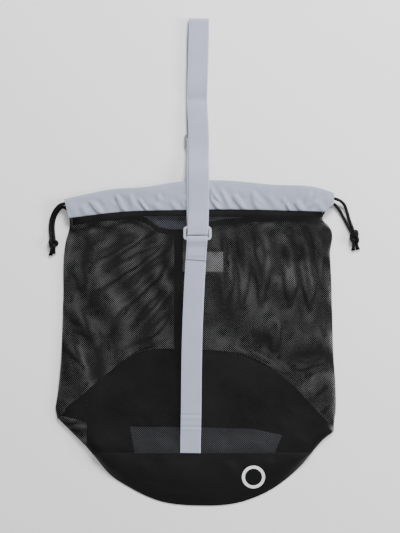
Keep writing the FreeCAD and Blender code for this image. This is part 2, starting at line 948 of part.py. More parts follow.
def write_parts():
    os.makedirs("parts", exist_ok=True)
    for part in parts:
        part.Shape.exportStep(f"parts/{part.Label}.step")
        box = part.Shape.BoundBox
        corners = (box.XMin, box.XMax, box.YMin, box.YMax, box.ZMin, box.ZMax)
        print(part.Label, len(part.Shape.Solids), [round(v, 1) for v in corners])


make_body_panels()
make_base_trims()
make_label()
make_printed_mark()
make_collar("front", FRONT_COLLAR_LOW, collar_hem(), Size.of(0))
make_collar("back", BACK_COLLAR_LOW, back_collar_hem(), Size.of(3))
make_collar_trims()
make_lower_strap()
make_ring()
make_shoulder_strap_base()
make_shoulder_loop()
make_return_layer()
make_slider()
make_drawcord(
    "left",
    {"front": LEFT_FRONT_ROUTE, "back": LEFT_BACK_ROUTE},
    LEFT_KNOT,
    LEFT_TAILS,
    1,
)
make_drawcord(
    "right",
    {"front": RIGHT_FRONT_ROUTE, "back": RIGHT_BACK_ROUTE},
    RIGHT_KNOT,
    RIGHT_TAILS,
    -1,
)
doc.recompute()
check_document()
write_parts()
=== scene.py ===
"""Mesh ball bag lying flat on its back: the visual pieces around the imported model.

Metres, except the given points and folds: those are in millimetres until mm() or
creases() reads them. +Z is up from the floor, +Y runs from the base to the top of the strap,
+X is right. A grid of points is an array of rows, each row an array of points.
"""

import math

import bpy
import numpy as np
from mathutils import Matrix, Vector, noise


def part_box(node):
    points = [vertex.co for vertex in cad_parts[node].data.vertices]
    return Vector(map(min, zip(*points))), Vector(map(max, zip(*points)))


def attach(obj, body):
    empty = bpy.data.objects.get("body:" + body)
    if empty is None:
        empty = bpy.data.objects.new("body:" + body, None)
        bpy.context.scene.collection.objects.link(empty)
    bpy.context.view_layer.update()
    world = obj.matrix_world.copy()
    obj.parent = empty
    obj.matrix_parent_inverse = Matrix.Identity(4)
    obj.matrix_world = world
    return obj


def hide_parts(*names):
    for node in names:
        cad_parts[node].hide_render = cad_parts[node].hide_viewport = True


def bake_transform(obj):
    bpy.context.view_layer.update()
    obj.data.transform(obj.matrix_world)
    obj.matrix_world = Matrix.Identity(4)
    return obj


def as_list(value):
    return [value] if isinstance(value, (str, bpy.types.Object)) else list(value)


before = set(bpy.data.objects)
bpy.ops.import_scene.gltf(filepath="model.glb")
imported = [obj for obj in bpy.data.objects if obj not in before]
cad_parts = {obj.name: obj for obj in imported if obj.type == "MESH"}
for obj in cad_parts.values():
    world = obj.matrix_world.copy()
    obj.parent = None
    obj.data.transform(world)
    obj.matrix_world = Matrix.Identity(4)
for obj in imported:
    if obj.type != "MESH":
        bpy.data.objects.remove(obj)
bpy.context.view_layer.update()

# ---------------- sizes and outlines


def mm(*points):
    """Listed points, written in millimetres, as tuples in metres."""
    return [tuple(round(number / 1000, 7) for number in point) for point in points]


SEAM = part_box("base_front_panel")[1][1]  # Y of the seam between the front mesh and the base
WEB = 0.0016  # thickness of the webbing
WEB_WIDTH = 0.037
CORD = 0.0058  # diameter
LOOSE_YARNS = 90  # at each cut cord end
COLLAR_MIDDLE = sum(corner[2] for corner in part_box("collar_front")) / 2
FLOOR_Z = 0.0006  # the bag's back
EDGE_Z = 0.0035  # its rolled side edges
FRONT_Z = 0.0135  # its front, where nothing holds it up
HELD_Z = 0.0185  # its front under the strap and at both seams

# Outlines of the flat bag. The side edges, and the corners called ears, are (y, x) points that run
# down the bag. All the others are (x, y) points that run across it.
LEFT_EDGE = mm(
    (80.5, -228.7), (62, -229.1), (44, -234.1), (-68, -240.1), (-175, -244.3), (-240, -250.6),
    (-265.3, -254), (-281.5, -251),
)
LEFT_EAR = mm((-281.5, -251), (-335.8, -196.7), (-390.1, -151.4))
RIGHT_EDGE = mm(
    (92.1, 235.4), (78.7, 230), (65.2, 242.3), (15, 243.9), (-28, 245.9), (-175, 250.4),
    (-230.8, 254), (-268.8, 254), (-292.3, 250.9), (-306.8, 250.4),
)
RIGHT_EAR = mm((-306.8, 250.4), (-318.9, 234.1), (-370.9, 188.9), (-408.2, 142.9))
BOTTOM = mm(
    (-251, -281.5), (-196.7, -335.8), (-151.4, -388), (-124.3, -405.5), (-73.6, -430), (7.9, -441),
    (89.3, -432.5), (142.9, -408.2), (188.9, -370.9), (234.1, -318.9), (250.4, -306.8),
)
ARCH = mm(
    (-254, -285), (-226.3, -261.5), (-194.8, -236.2), (-156.8, -202.9), (-129.7, -181.9),
    (-102.5, -168.1), (-79, -162.5), (-31.9, -161.8), (14.4, -163.1), (68.7, -168.1),
    (103.8, -177.7), (138.2, -197.1), (192.5, -243.4), (219.6, -272.4), (246.8, -305.7),
    (254, -315),
)
HEM = mm((-228.7, 80.5), (-137, 91.4), (-18, 95), (24, 95.9), (235.4, 92.1))
BACK_HEM = mm(
    (-224.5, 79), (-150, 86), (-102, 85), (-85, 78), (-70, 66), (-54, 61.5), (-17, 61), (24, 74),
    (80, 81), (228, 88),
)
COLLAR_TOP = mm(
    (-237.9, 114.9), (-143, 133.4), (-101.7, 135.7), (-19, 147.3), (54, 148.4), (137, 141),
    (227, 133.9), (250.2, 126),
)


def smooth_curve(points, at):
    """A smooth line through given (x, y) points, read at other x places."""
    line = np.array(sorted(points))
    x, y = line[:, 0], line[:, 1]
    slope = np.gradient(y, x)
    at = np.clip(at, x[0], x[-1])
    i = np.clip(np.searchsorted(x, at) - 1, 0, len(x) - 2)
    step = x[i + 1] - x[i]
    t = (at - x[i]) / step
    blend = [2 * t**3 - 3 * t**2 + 1, t**3 - 2 * t**2 + t, 3 * t**2 - 2 * t**3, t**3 - t**2]
    parts = [y[i], step * slope[i], y[i + 1], step * slope[i + 1]]
    return sum(share * part for share, part in zip(blend, parts, strict=True))


def ease(t):
    """0 to 1 with level ends."""
    t = np.clip(t, 0, 1)
    return t * t * (3 - 2 * t)


def soft_noise(x, y, scale, seed):
    """Smooth bumps between about -1 and 1, scale metres apart."""
    flat = zip(np.ravel(x) / scale, np.ravel(y) / scale, strict=True)
    values = [noise.noise(Vector((a, b, seed * 7.3))) for a, b in flat]
    return np.array(values).reshape(np.shape(x)) * 1.6


def ridge(x, y, line, width, height):
    """A fold along a line of points, with a shallow hollow on each side, fading at its ends."""
    line = np.array(line)
    lengths = np.linalg.norm(np.diff(line, axis=0), axis=1)
    total = lengths.sum()
    best = np.full(np.shape(x), np.inf)
    along = np.zeros(np.shape(x))
    start = 0.0
    for a, b, length in zip(line, line[1:], lengths, strict=False):
        way = (b - a) / length
        t = np.clip((x - a[0]) * way[0] + (y - a[1]) * way[1], 0, length)
        off = np.hypot(x - a[0] - way[0] * t, y - a[1] - way[1] * t)
        nearer = off < best
        best = np.where(nearer, off, best)
        along = np.where(nearer, start + t, along)
        start += length
    fade = ease(np.minimum(along, total - along) / (0.35 * total))
    crest = np.exp(-((best / width) ** 2)) - 0.4 * np.exp(-(((best - 2.1 * width) / width) ** 2))
    return height * fade * crest


def creases(x, y, folds):
    """The sum of listed folds, each as its width, height and points in millimetres."""
    return sum(ridge(x, y, mm(*line), width / 1000, height / 1000) for width, height, *line in folds)


# ---------------- making meshes


def ride_on(piece, body, slot, *nodes):
    """Puts a piece on its body in place of its CAD nodes; the material slot it is given is not used."""
    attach(piece, body)
    if nodes:
        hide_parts(*nodes)
    return piece


def lay(piece, slot, node, flat, rests_on, held="laid", **area):
    """Puts a sheet on the bag's body in place of its CAD node; its slot, flat size and what it lies on
    are not used.
    """
    ride_on(piece, "bag", slot, node)
    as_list(rests_on)


def new_object(name, data):
    """A new object in the scene."""
    made = bpy.data.objects.new(name, data)
    bpy.context.scene.collection.objects.link(made)
    return made


def mesh_piece(name, points, faces, paint, cloth=None):
    """A smooth-shaded object from points and faces, with its flat cloth places."""
    mesh = bpy.data.meshes.new(name)
    mesh.from_pydata([tuple(p) for p in points], [], [tuple(f) for f in faces])
    if cloth is not None:
        layer = mesh.attributes.new("cloth", "FLOAT_VECTOR", "POINT")
        layer.data.foreach_set("vector", np.ascontiguousarray(cloth, np.float32).ravel())
    mesh.shade_smooth()
    mesh.materials.append(paint)
    mesh.update()
    return new_object(name, mesh)


def grid_of(x, y, z):
    """A grid of points from coordinates that are grids, single rows, columns or numbers."""
    return np.stack(np.broadcast_arrays(x, y, z), axis=2)


def unit_grid(rows, columns):
    """Shares from 0 to 1 across a grid's columns, as a row, and along its rows, as a column."""
    return np.linspace(0, 1, columns)[None, :], np.linspace(0, 1, rows)[:, None]


def cloth_places(grid):
    """Where each grid point lay before the cloth was folded: lengths along rows and columns."""
    across = np.linalg.norm(np.diff(grid, axis=1), axis=2)
    along = np.linalg.norm(np.diff(grid, axis=0), axis=2)
    u = np.pad(np.cumsum(across, axis=1), ((0, 0), (1, 0)))
    v = np.pad(np.cumsum(along, axis=0), ((1, 0), (0, 0)))
    return grid_of(u - u[:, [grid.shape[1] // 2]], v, 0)


def grid_faces(rows, columns, closed=False):
    """Quads between neighbours of a grid whose rows may close on themselves."""
    j, i = np.meshgrid(np.arange(rows - 1), np.arange(columns - (not closed)), indexing="ij")
    after = (i + 1) % columns
    quads = [j * columns + i, j * columns + after, (j + 1) * columns + after, (j + 1) * columns + i]
    return np.stack([q.ravel() for q in quads], axis=1)


def grid_piece(name, grid, paint, closed=False, cloth=None, capped=False):
    """A surface from a grid of points. Its rows may close on themselves, its ends be capped."""
    rows, columns = grid.shape[:2]
    faces = grid_faces(rows, columns, closed).tolist()
    if capped:
        faces += [range(columns - 1, -1, -1), range((rows - 1) * columns, rows * columns)]
    cloth = cloth_places(grid) if cloth is None else cloth
    return mesh_piece(name, grid.reshape(-1, 3), faces, paint, cloth.reshape(-1, 3))


def modify(piece, kind, **settings):
    """Changes a piece's mesh for good by a modifier with these settings."""
    modifier = piece.modifiers.new(kind, kind)
    for name, value in settings.items():
        setattr(modifier, name, value)
    shown = piece.evaluated_get(bpy.context.evaluated_depsgraph_get())
    piece.data = bpy.data.meshes.new_from_object(shown)
    piece.modifiers.clear()
    return piece


# ---------------- paints


class Paint:
    """One node material: a Principled shader and short ways to feed it."""

    def __init__(self, name, color, roughness, specular=0.3):
        self.material = bpy.data.materials.new(name)
        self.material.use_nodes = True
        self.tree = self.material.node_tree
        self.shader = self.tree.nodes["Principled BSDF"]
        self.set(Base_Color=(*color, 1), Roughness=roughness, Specular_IOR_Level=specular)

    def feed(self, socket, value):
        """Links a socket to a value that comes from a node, or sets it to a number."""
        if isinstance(value, bpy.types.NodeSocket):
            self.tree.links.new(value, socket)
        else:
            socket.default_value = value

    def set(self, node=None, **inputs):
        """Feeds the named inputs of a node, or of the shader if none is given."""
        for name, value in inputs.items():
            self.feed((node or self.shader).inputs[name.replace("_", " ")], value)

    def add(self, kind, *values, **inputs):
        """A new node, its first inputs fed in order and others by name."""
        node = self.tree.nodes.new("ShaderNode" + kind)
        for socket, value in zip(node.inputs, values, strict=False):
            self.feed(socket, value)
        self.set(node, **inputs)
        return node

    def math(self, operation, *values):
        node = self.add("Math", *values)
        node.operation = operation
        return node.outputs[0]

    def plus(self, first, second):
        return self.math("ADD", first, second)

    def minus(self, first, second):
        return self.math("SUBTRACT", first, second)

    def times(self, first, second):
        return self.math("MULTIPLY", first, second)

    def cloth(self):
        """The two flat cloth coordinates, in metres."""
        places = self.add("Attribute")
        places.attribute_name = "cloth"
        parts = self.add("SeparateXYZ", Vector=places.outputs["Vector"])
        return parts.outputs["X"], parts.outputs["Y"]

    def blobs(self, scale, detail=2.0):
        """Cloudy noise from 0 to 1 in the piece's own metres."""
        place = self.add("TexCoord").outputs["Object"]
        return self.add("TexNoise", Vector=place, Scale=scale, Detail=detail).outputs["Fac"]

    def spread(self, value, low, high, to_low, to_high):
        """A value between low and high carried over to another range, and held at its ends."""
        return self.add("MapRange", value, low, high, to_low, to_high).outputs[0]

    def wave(self, value, pitch):
        """A ridge from 0 to 1 every pitch metres."""
        return self.math("ABSOLUTE", self.math("SINE", self.times(value, math.pi / pitch)))

    def colors(self, factor, *stops):
        """Colours along a factor, from (place, colour) stops."""
        ramp = self.add("ValToRGB", Fac=factor)
        for element, (place, color) in zip(ramp.color_ramp.elements, stops, strict=True):
            element.position = place
            element.color = (*color, 1)
        self.set(Base_Color=ramp.outputs["Color"])

    def bump(self, height, depth, strength):
        """Relief of a depth in metres, that shades the surface and doesn't move it."""
        node = self.add("Bump", Height=height, Distance=depth, Strength=strength)
        self.set(Normal=node.outputs["Normal"])


def mesh_paint():
    """Black knitted mesh with a staggered lattice of round holes that show what is behind, and paler
    blotches of painted sheen.
    """
    pitch, hole, edge, yarn_width = 0.0038, 0.00085, 0.00012, 0.0007
    paint = Paint("mesh_knit", (0.01, 0.01, 0.011), 0.55, 0.12)
    u, v = paint.cloth()
    distances = []
    for shift in (0.0, 0.5):
        squares = []
        for place in (u, v):
            cell = paint.math("FRACT", paint.plus(paint.math("DIVIDE", place, pitch), 100 + shift))
            off = paint.times(paint.minus(cell, 0.5), pitch)
            squares.append(paint.times(off, off))
        distances.append(paint.math("SQRT", paint.plus(*squares)))
    away = paint.math("MINIMUM", *distances)
    paint.set(Alpha=paint.spread(away, hole - edge, hole + edge, 0.0, 1.0))
    yarn = paint.spread(away, hole, hole + yarn_width, 0.0, 1.0)
    loops = paint.wave(paint.plus(u, paint.times(v, 0.6)), 0.0006)
    paint.bump(paint.plus(yarn, paint.times(loops, 0.3)), 0.0004, 0.7)
    # Painted sheen: paler blotches, scattered at random, stand in for patches where the knit catches
    # the light.
    paint.colors(paint.blobs(14.0), (0.3, (0.004, 0.004, 0.0044)), (0.7, (0.010, 0.010, 0.0108)))
    paint.set(Sheen_Weight=0.03, Sheen_Roughness=0.4)
    return paint.material


def woven_paint(name, dark, light, pitch, roughness, specular=0.3, sheen=0.1):
    """A plain weave in two close shades, for the collar, base, tapes, label and thread."""
    paint = Paint(name, light, roughness, specular)
    u, v = paint.cloth()
    weave = paint.times(paint.wave(u, pitch), paint.wave(v, pitch))
    fine = paint.times(paint.blobs(9.0, 4.0), 0.8)
    paint.colors(paint.plus(fine, paint.times(weave, 0.25)), (0.25, dark), (0.75, light))
    paint.bump(weave, 0.0002, 0.5)
    paint.set(Sheen_Weight=sheen, Sheen_Roughness=0.6)
    return paint.material


def webbing_paint():
    """Grey polyester webbing: fine crosswise picks, lengthwise ribs, paler selvedges and painted shade
    along a groove near each selvedge.
    """
    groove_at, edge_from, edge_to = 0.0154, 0.0158, 0.0164
    paint = Paint("webbing_weave", (0.5, 0.52, 0.57), 0.6, 0.3)
    u, v = paint.cloth()
    picks = paint.wave(v, 0.0011)
    ribs = paint.wave(u, 0.0021)
    weave = paint.plus(paint.times(picks, 0.6), paint.times(ribs, 0.4))
    off_middle = paint.math("ABSOLUTE", u)
    edge = paint.spread(off_middle, edge_from, edge_to, 0.0, 0.22)
    off_groove = paint.math("ABSOLUTE", paint.minus(off_middle, groove_at))
    # Painted shade: the colour is darkened along the groove near each selvedge.
    groove_shade = paint.spread(off_groove, 0.0, 0.0007, 0.25, 0.0)
    tone = paint.plus(paint.times(paint.blobs(30.0, 5.0), 0.45), paint.times(weave, 0.22))
    tone = paint.minus(paint.plus(tone, edge), groove_shade)
    paint.colors(tone, (0.1, (0.305, 0.325, 0.42)), (0.75, (0.435, 0.46, 0.58)))
    paint.bump(weave, 0.00025, 0.6)
    paint.set(Sheen_Weight=0.1, Sheen_Roughness=0.5)
    return paint.material


def braid_paint():
    """Black braided cord with a soft sheen."""
    pitch = 0.0013
    paint = Paint("cord_braid", (0.008, 0.008, 0.009), 0.55, 0.14)
    u, v = paint.cloth()
    tone = paint.times(paint.wave(paint.plus(u, v), pitch), paint.wave(paint.minus(u, v), pitch))
    paint.colors(tone, (0.0, (0.002, 0.002, 0.0023)), (1.0, (0.009, 0.009, 0.0098)))
    paint.bump(tone, 0.0002, 0.5)
    paint.set(Sheen_Weight=0.02, Sheen_Roughness=0.4)
    return paint.material


def plastic_paint(name, dark, light, roughness, specular):
    """Moulded plastic with a faint cloudiness and fine surface grain."""
    paint = Paint(name, light, roughness, specular)
    paint.colors(paint.blobs(60.0, 3.0), (0.35, dark), (0.65, light))
    smooth, dull = roughness - 0.06, roughness + 0.08
    paint.set(Roughness=paint.spread(paint.blobs(400.0), 0.3, 0.7, smooth, dull))
    paint.bump(paint.blobs(900.0), 0.00005, 0.3)
    return paint.material


MESH = mesh_paint()
BLACK = (0.004, 0.004, 0.0045)
BASE = woven_paint("base_coated", BLACK, (0.008, 0.008, 0.0088), 0.0007, 0.5, 0.14, sheen=0.0)
COLLAR = woven_paint("collar_cloth", (0.27, 0.295, 0.38), (0.355, 0.38, 0.475), 0.0006, 0.55)
TAPE = woven_paint("black_tape", BLACK, (0.009, 0.009, 0.010), 0.0009, 0.7, 0.1, sheen=0.0)
# The base's coated seam allowance, turned up inside; its pale grey, far lighter than the base, is
# painted sheen: the light that a crease in the coating catches.
FACING_PAINTED_SHEEN = woven_paint("facing_painted_sheen", (0.058, 0.060, 0.069), (0.096, 0.099, 0.112), 0.0007, 0.45)
LABEL = woven_paint("label_weave", (0.78, 0.78, 0.80), (0.88, 0.88, 0.90), 0.0005, 0.6)
PRINT = plastic_paint("screen_print", (0.82, 0.82, 0.82), (0.9, 0.9, 0.9), 0.5, 0.4)
# The thread is the webbing's grey darkened: painted shade of the stitches sunk into the webbing.
THREAD_PAINTED_SHADE = woven_paint("sewing_thread_painted_shade", (0.17, 0.18, 0.21), (0.24, 0.25, 0.29), 0.0004, 0.6)
WEBBING = webbing_paint()
BRAID = braid_paint()
RING = plastic_paint("ring_gloss", (0.37, 0.40, 0.43), (0.45, 0.48, 0.52), 0.22, 0.5)
SLIDER = plastic_paint("slider_matte", (0.16, 0.17, 0.19), (0.22, 0.23, 0.26), 0.42, 0.4)


# ---------------- camera, floor and light


def make_camera():
    """A long lens straight above, with the whole strap and bag in its upright frame."""
    high = 4.0
    seen_height = 0.9647
    camera = new_object("camera", bpy.data.cameras.new("camera"))
    camera.location = (0.0079, -0.0072, high + 0.012)
    camera.data.sensor_fit = "VERTICAL"
    camera.data.sensor_height = 36.0
    camera.data.lens = 36.0 * high / seen_height
    bpy.context.scene.camera = camera


def make_floor():
    """A plain pale floor."""
    points = [(-9, -9, 0), (9, -9, 0), (9, 9, 0), (-9, 9, 0)]
    paint = Paint("floor_white", (0.9, 0.9, 0.9), 0.9, 0.1)
    paint.set(Emission_Color=(1, 1, 1, 1), Emission_Strength=0.06)
    floor = mesh_piece("floor", points, [(0, 1, 2, 3)], paint.material)


def make_lamp(name, place, power, width):
    """A square soft lamp that looks at the middle of the bag."""
    lamp = new_object(name, bpy.data.lights.new(name, "AREA"))
    lamp.data.energy = power
    lamp.data.size = width
    lamp.location = place
    lamp.rotation_euler = Vector(place).to_track_quat("Z", "Y").to_euler()


def make_light():
    """Soft studio light, strongest from beyond the strap and from the right."""
    make_lamp("key_light", (0.6, 2.0, 2.0), 118, 1.0)
    make_lamp("side_light", (2.3, 0.2, 1.2), 52, 0.8)
    make_lamp("fill_light", (-0.6, -1.4, 2.8), 12, 2.0)
    world = bpy.data.worlds.new("studio")
    world.use_nodes = True
    sky = world.node_tree.nodes["Background"].inputs
    sky["Color"].default_value = (1, 1, 1, 1)
    sky["Strength"].default_value = 0.35
    bpy.context.scene.world = world


make_camera()
make_floor()
make_light()

# ---------------- drawcords

# Each strand's route from the collar's end to its knot, then the loose tails beyond the knots.
LEFT_FRONT_ROUTE = mm(
    (-235.7, 106.8, 16.7), (-244, 105.8, 15), (-252.5, 98.5, 10.2), (-258.8, 88.5, 5.6),
    (-262.8, 76.5, 3.1), (-264, 64, 2.9), (-263.4, 51, 3.6), (-261.4, 41.5, 5.2),
)
LEFT_BACK_ROUTE = mm(
    (-233.1, 96.8, 4.9), (-238, 100.6, 4.8), (-243.2, 100.4, 4.4), (-249, 95.2, 3.7),
    (-253.8, 86.8, 3.1), (-257.2, 76.5, 2.9), (-258.4, 65, 2.9), (-257.8, 54.5, 3.4),
    (-256.2, 41.5, 5.2),
)
RIGHT_FRONT_ROUTE = mm(
    (250.3, 115.8, 16.7), (257, 114.2, 14.6), (265.8, 109.4, 9.8), (271.8, 100.8, 5.2),
    (275, 90.5, 3.2), (278, 79, 3.1), (282, 68, 3.7), (286.6, 56, 5.6),
)
RIGHT_BACK_ROUTE = mm(
    (250.4, 106.8, 4.9), (256.2, 101, 4.6), (262.5, 92.5, 3.6), (267.7, 82.5, 2.9),
    (272.4, 73.5, 2.9), (277.2, 64, 3.4), (282.8, 53.4, 5.2),
)
LEFT_TAILS = [
    mm((-260, 31, 5), (-261.2, 22, 4.2), (-263.2, 12.5, 3.4)),
    mm((-256.8, 31, 5), (-256.6, 23, 4.2), (-257.2, 15.5, 3.4)),
]
RIGHT_TAILS = [
    mm((287, 39, 5), (286.2, 30, 4.2), (285.9, 21.5, 3.4)),
    mm((291, 39, 5), (292.4, 31, 4.2), (294.6, 23.2, 3.4)),
]


def route_points(name, route):
    """Points along the smooth line that has the route's points as its control points."""
    curve = bpy.data.curves.new(name + "_line", "CURVE")
    curve.dimensions = "3D"
    curve.resolution_u = 16
    spline = curve.splines.new("NURBS")
    spline.points.add(len(route) - 1)
    for point, place in zip(spline.points, route, strict=True):
        point.co = (*place, 1)
    spline.order_u = 3
    spline.use_endpoint_u = True
    holder = bpy.data.objects.new(name + "_line", curve)
    line = bpy.data.meshes.new_from_object(holder)
    points = np.array([v.co for v in line.vertices])
    bpy.data.objects.remove(holder)
    bpy.data.curves.remove(curve)
    bpy.data.meshes.remove(line)
    return points


def unit(ways):
    """Directions scaled to length one."""
    return ways / np.linalg.norm(ways, axis=-1, keepdims=True)


def even_points(line, step):
    """The line again with points about step apart."""
    along = np.concatenate([[0], np.cumsum(np.linalg.norm(np.diff(line, axis=0), axis=1))])
    count = max(3, round(along[-1] / step) + 1)
    at = np.linspace(0, along[-1], count)
    return np.stack([np.interp(at, along, line[:, k]) for k in range(3)], axis=1), at


def braided_tube(name, line, radius, closed=False):
    """A cord round a line of points, its surface raised where the braid's yarns cross."""
    around, carriers = 32, 8
    line, along = even_points(line, 0.0007)
    ways = np.gradient(line, axis=0)
    if closed:
        ways[0] = ways[-1] = line[1] - line[-2]
    ways = unit(ways)
    side = unit(np.cross(ways[0], (0, 0, 1)))
    angle = np.arange(around) * 2 * math.pi / around
    rings = []
    for point, way, place in zip(line, ways, along, strict=True):
        side = unit(side - way * np.dot(side, way))
        turn = place / radius * 0.9
        yarns = np.cos(carriers / 2 * (angle + turn)) * np.cos(carriers / 2 * (angle - turn))
        reach = radius * (0.95 + 0.06 * np.abs(yarns))
        circle = np.outer(np.cos(angle), side) + np.outer(np.sin(angle), np.cross(side, way))
        rings.append(point + reach[:, None] * circle)
    cloth = grid_of(angle * radius, along[:, None], 0)
    return grid_piece(name, np.array(rings), BRAID, closed=True, cloth=cloth, capped=not closed)


def frayed_tail(name, route):
    """A cut cord end: a short braid that opens into a brush of loose yarns."""
    line = route_points(name, route)
    braid = line[: len(line) * 3 // 4]
    piece = braided_tube(name, braid, CORD * 0.5)
    start, way = braid[-1], line[-1] - braid[-1]
    reach = np.linalg.norm(way)
    way = way / reach
    side = np.cross(way, (0, 0, 1))
    up = np.cross(side, way)

    def off(angle, sideways, upward):
        return sideways * math.cos(angle) * side + upward * math.sin(angle) * up

    rng = np.random.default_rng(5)
    points, faces = [], []
    for _ in range(LOOSE_YARNS):
        turn = rng.uniform(0, 2 * math.pi)
        out = CORD * 0.48 * math.sqrt(rng.uniform(0, 1))
        flare = 1.0 + rng.uniform(0.15, 0.55)
        root = start + off(turn, out, out)
        tip = start + way * reach * rng.uniform(0.8, 1.15) + off(turn, flare * out, 0.9 * out)
        first = len(points)
        for place, thick in ((root, 0.00028), (tip, 0.00016)):
            points += [place + off(a, thick, thick) for a in np.arange(4) * math.pi / 2]
        faces += (grid_faces(2, 4, closed=True) + first).tolist()
        faces.append(range(first + 4, first + 8))
    yarns = mesh_piece(name + "_yarns", points, faces, BRAID, np.zeros((len(points), 3)))
    return join(piece, yarns)


def join(first, *others):
    """Joins other pieces into the first."""
    bpy.ops.object.select_all(action="DESELECT")
    for piece in (first, *others):
        piece.select_set(True)
    bpy.context.view_layer.objects.active = first
    bpy.ops.object.join()
    return first


def tied_knot(name, node, lean):
    """An overhand knot in the doubled cord: two trefoil turns drawn up tight round the strands."""
    low, high = (np.array(c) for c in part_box(node))
    middle, half = (low + high) / 2, (high - low) / 2 - CORD * 0.5
    t = np.linspace(0, 2 * math.pi, 160)
    parts = []
    for number, size, twist in ((0, 1.30, lean), (1, 1.04, lean + 0.5)):
        x = (np.sin(t) + 2 * np.sin(2 * t)) / 3
        y = (np.cos(t) - 2 * np.cos(2 * t)) / 3 + 0.16
        z = -np.sin(3 * t) * (0.9 - 0.3 * number)
        turned = (x + 1j * y) * np.exp(1j * twist)
        loop = middle + np.stack([turned.real, turned.imag, z], axis=1) * half * size
        loop[:, 2] = np.maximum(loop[:, 2], CORD * 0.52)
        parts.append(braided_tube(f"{name}_turn_{number}", loop, CORD * 0.5, closed=True))
    for side in (-1, 1):
        x, z = middle[0] + side * CORD * 0.45, middle[2] - 0.001
        core = np.array([(x, high[1] - 0.001, z), (x, low[1] + 0.001, z)])
        parts.append(braided_tube(f"{name}_core_{side}", core, CORD * 0.48))
    return join(*parts)


def hidden_run(name, node):
    """A stretch of cord inside the collar, drawn slim to stay clear of the flattened cloth."""
    low, high = (np.array(c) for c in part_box(node))
    y, z = (low[1:] + high[1:]) / 2 - (0, 0.0005)
    run = np.array([(low[0] + 0.0002, y, z), (high[0] - 0.0002, y, z)])
    return braided_tube(name, run, CORD * 0.34)


def make_drawcord(side, strands, tails, lean):
    """One drawcord: its knot, tails, strands and the stretches inside the collar."""
    body = f"{side}_drawcord"
    knot = tied_knot(f"{side}_knot", f"{side}_cord_knot", lean)
    knot.name = f"{side}_knot"
    ride_on(knot, body, "cord", f"{side}_cord_knot")
    for number, route in enumerate(tails, start=1):
        tail = frayed_tail(f"{side}_tail_{number}", route)
        ride_on(tail, body, "cord", f"{side}_cord_tail_{number}")
    for layer, route, length in strands:
        name = f"{side}_strand_{layer}"
        line = route_points(name, route)
        strand = braided_tube(name, line, CORD * 0.5)
        ride_on(strand, body, "cord", f"{side}_cord_{layer}_strand")
        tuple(route[0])
        hidden = f"{side}_cord_{layer}_hidden"
        ride_on(hidden_run(f"{side}_run_{layer}", hidden), body, "cord", hidden)


left_strands = [("front", LEFT_FRONT_ROUTE, 0.081), ("back", LEFT_BACK_ROUTE, 0.074)]
right_strands = [("front", RIGHT_FRONT_ROUTE, 0.077), ("back", RIGHT_BACK_ROUTE, 0.063)]
make_drawcord("left", left_strands, LEFT_TAILS, lean=-0.5)
make_drawcord("right", right_strands, RIGHT_TAILS, lean=0.6)

# ---------------- the bag's body

# Folds: width, height and (x, y) points, all in millimetres.
FRONT_FOLDS = [
    # left of the strap, running down and left from the ring
    (11, 3, (-165, 25), (-115, 52), (-70, 74)),
    (8, 2.6, (-205, -8), (-150, 22), (-95, 48), (-45, 68)),
    (9, 3.4, (-190, -52), (-130, -12), (-75, 22), (-30, 50)),
    (9, 3.2, (-160, -100), (-105, -50), (-55, -2), (-28, 26)),
    (8, 2.8, (-130, -135), (-80, -80), (-40, -35)),
    (6, 2.2, (-98, -150), (-62, -112), (-36, -80)),
    # from the left side down to the arch
    (9, 3, (-240, -80), (-205, -115), (-172, -160)),
    (7, 2.4, (-236, -140), (-212, -175), (-190, -215)),
    (8, 2, (-225, 20), (-205, -30), (-198, -80)),
    # ripples along the arch
    (4, 1.8, (-150, -176), (-105, -153), (-50, -139), (-30, -136)),
    (3, 1.4, (-128, -168), (-85, -152), (-40, -149)),
    (4, 2.2, (62, -132), (74, -156), (105, -168), (150, -190), (180, -214)),
    (4, 1.8, (92, -150), (128, -168), (162, -188), (195, -222)),
    (6, 2.6, (160, -184), (200, -188), (248, -176)),
    (5, 2, (192, -206), (222, -196), (250, -188)),
    # right of the strap, falling from the collar
    (8, 2.6, (40, 90), (52, 40), (56, -30), (50, -110)),
    (7, 2.2, (68, 90), (78, 40), (88, -30), (86, -100)),
    (9, 3.4, (98, 88), (114, 40), (122, -30), (112, -120)),
    (9, 3, (140, 85), (160, 40), (172, -20), (168, -120)),
    (9, 3.2, (168, 84), (192, 30), (206, -50), (204, -140)),
    (7, 2.6, (205, 78), (222, 30), (230, -60)),
    (8, 2.2, (140, -90), (146, -140), (138, -176)),
    (6, 2, (232, -90), (236, -150), (232, -176)),
    # the right corner
    (6, 2.2, (212, -246), (235, -226), (252, -220)),
    (5, 2, (226, -280), (240, -262), (252, -256)),
]
BASE_FOLDS = [
    (12, 1.2, (-100, -352), (-85, -400)),
    (14, 1, (-20, -350), (-12, -420)),
    (12, 1.2, (60, -352), (70, -400)),
    (10, 1.2, (140, -352), (120, -385)),
    (8, 1, (-150, -372), (-60, -418), (40, -428)),
]


def side_edges(y):
    """The body's left and right edges at the given Y places."""
    corner = np.interp(-y, [-p[0] for p in LEFT_EAR], [p[1] for p in LEFT_EAR])
    left = np.where(y > LEFT_EAR[0][0], smooth_curve(LEFT_EDGE, y), corner)
    right = np.where(y > RIGHT_EAR[0][0], smooth_curve(RIGHT_EDGE, y), smooth_curve(RIGHT_EAR, y))
    return left, right


def inset(x, y):
    """How far inside the nearer side edge a place is."""
    left, right = side_edges(y)
    return np.minimum(x - left, right - x)


